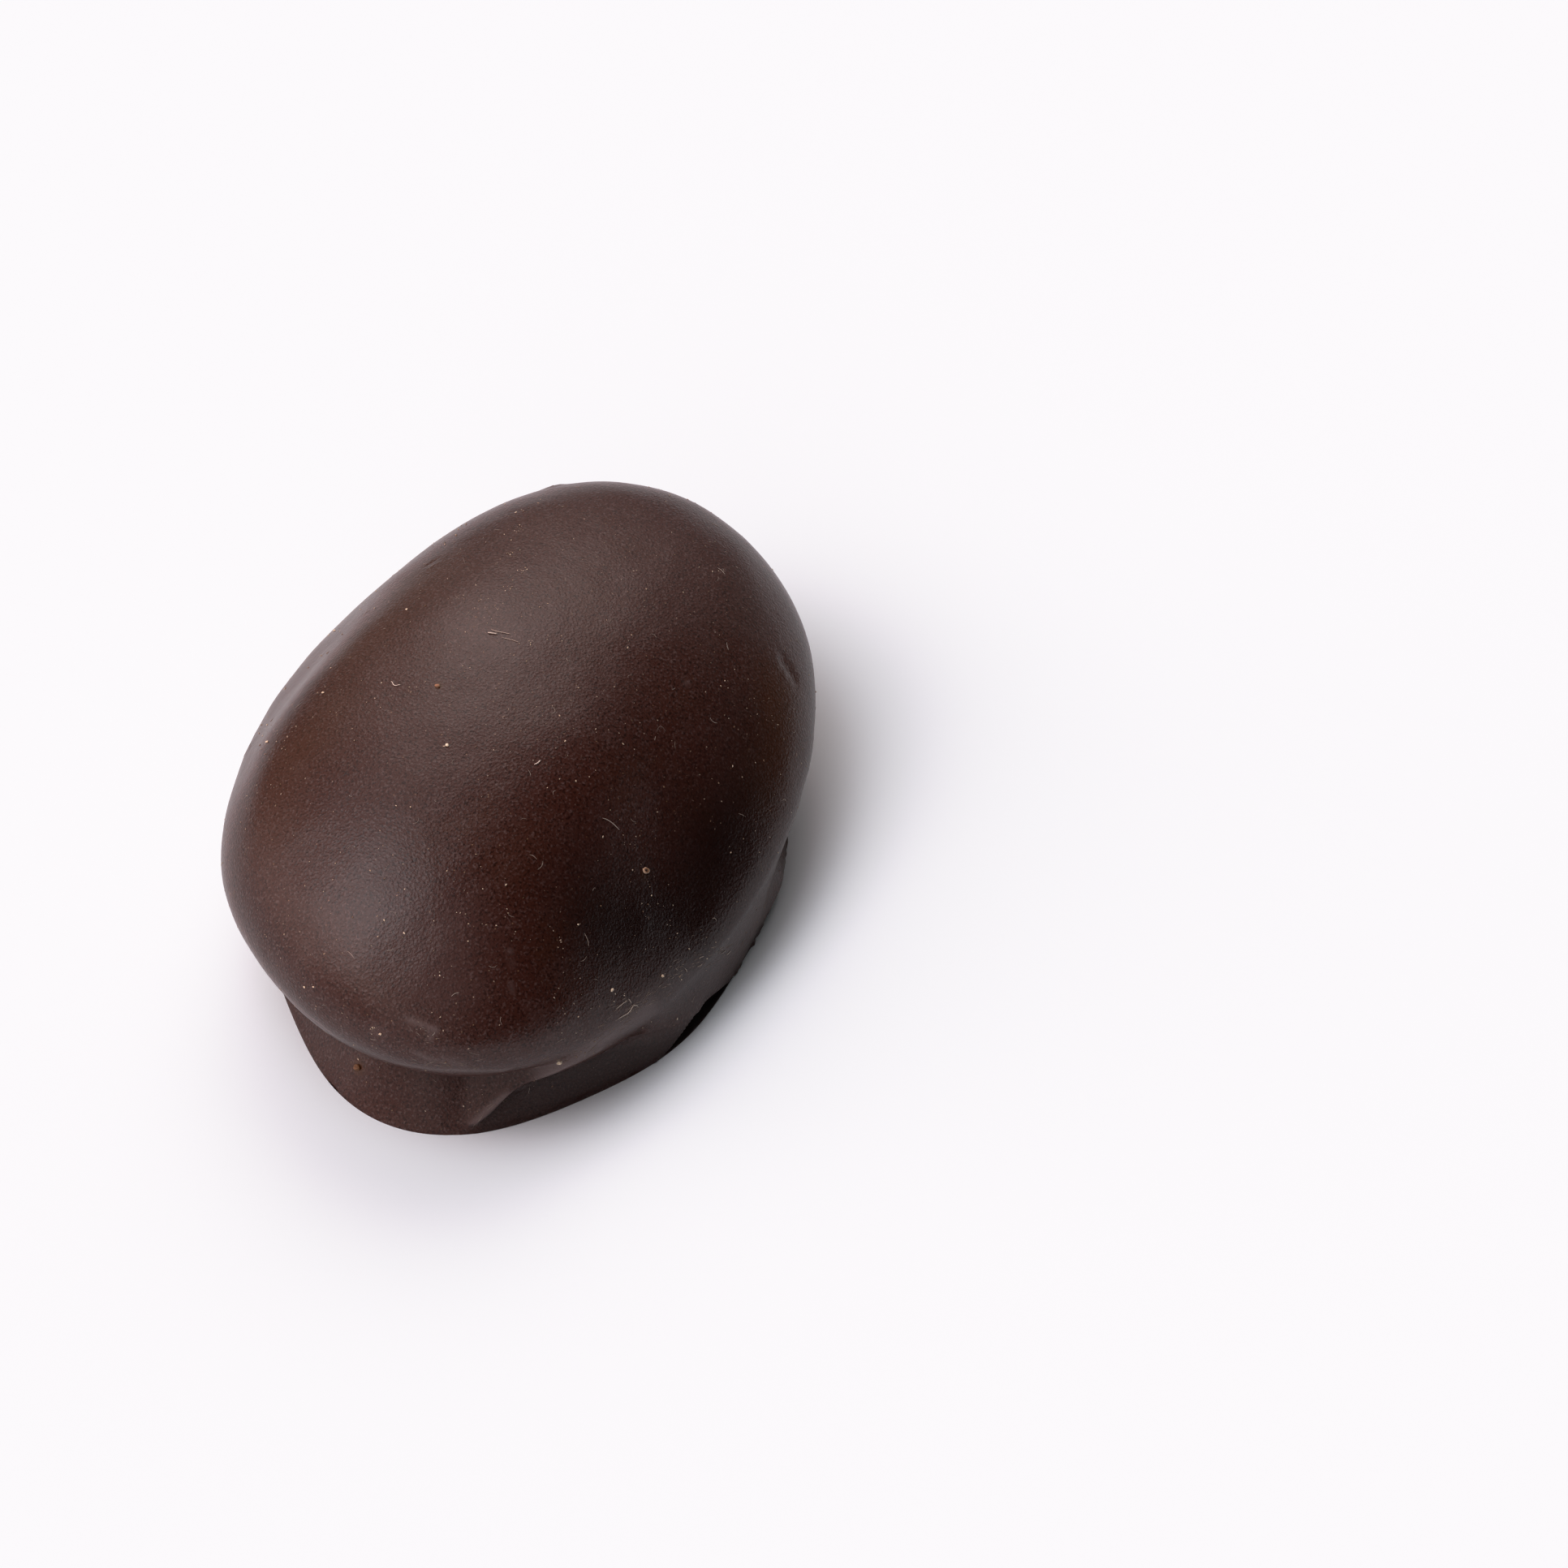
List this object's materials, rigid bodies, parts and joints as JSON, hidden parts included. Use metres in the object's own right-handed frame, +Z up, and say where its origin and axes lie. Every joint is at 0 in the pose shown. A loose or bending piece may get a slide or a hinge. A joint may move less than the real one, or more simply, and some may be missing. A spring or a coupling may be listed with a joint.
{
  "type": "chocolate covered almond",
  "caption": "Whole almond coated in dark chocolate, an egg-shaped sweet whose body overhangs a narrower foot, with a fold of coating hanging over a low wall on one side and a flat underside.",
  "frame": {"origin": "centre of the outline's bounding box, on the flat underside", "axes": "+X along the kernel's long axis towards the far end, +Z up from the flat underside, +Y towards the plain side, away from the hanging fold"},
  "size_m": [0.027, 0.0188, 0.0104],
  "materials": {
    "dark_chocolate": "satin"
  },
  "bodies": {
    "root": {"chocolate_almond": "dark_chocolate"}
  },
  "joints": []
}
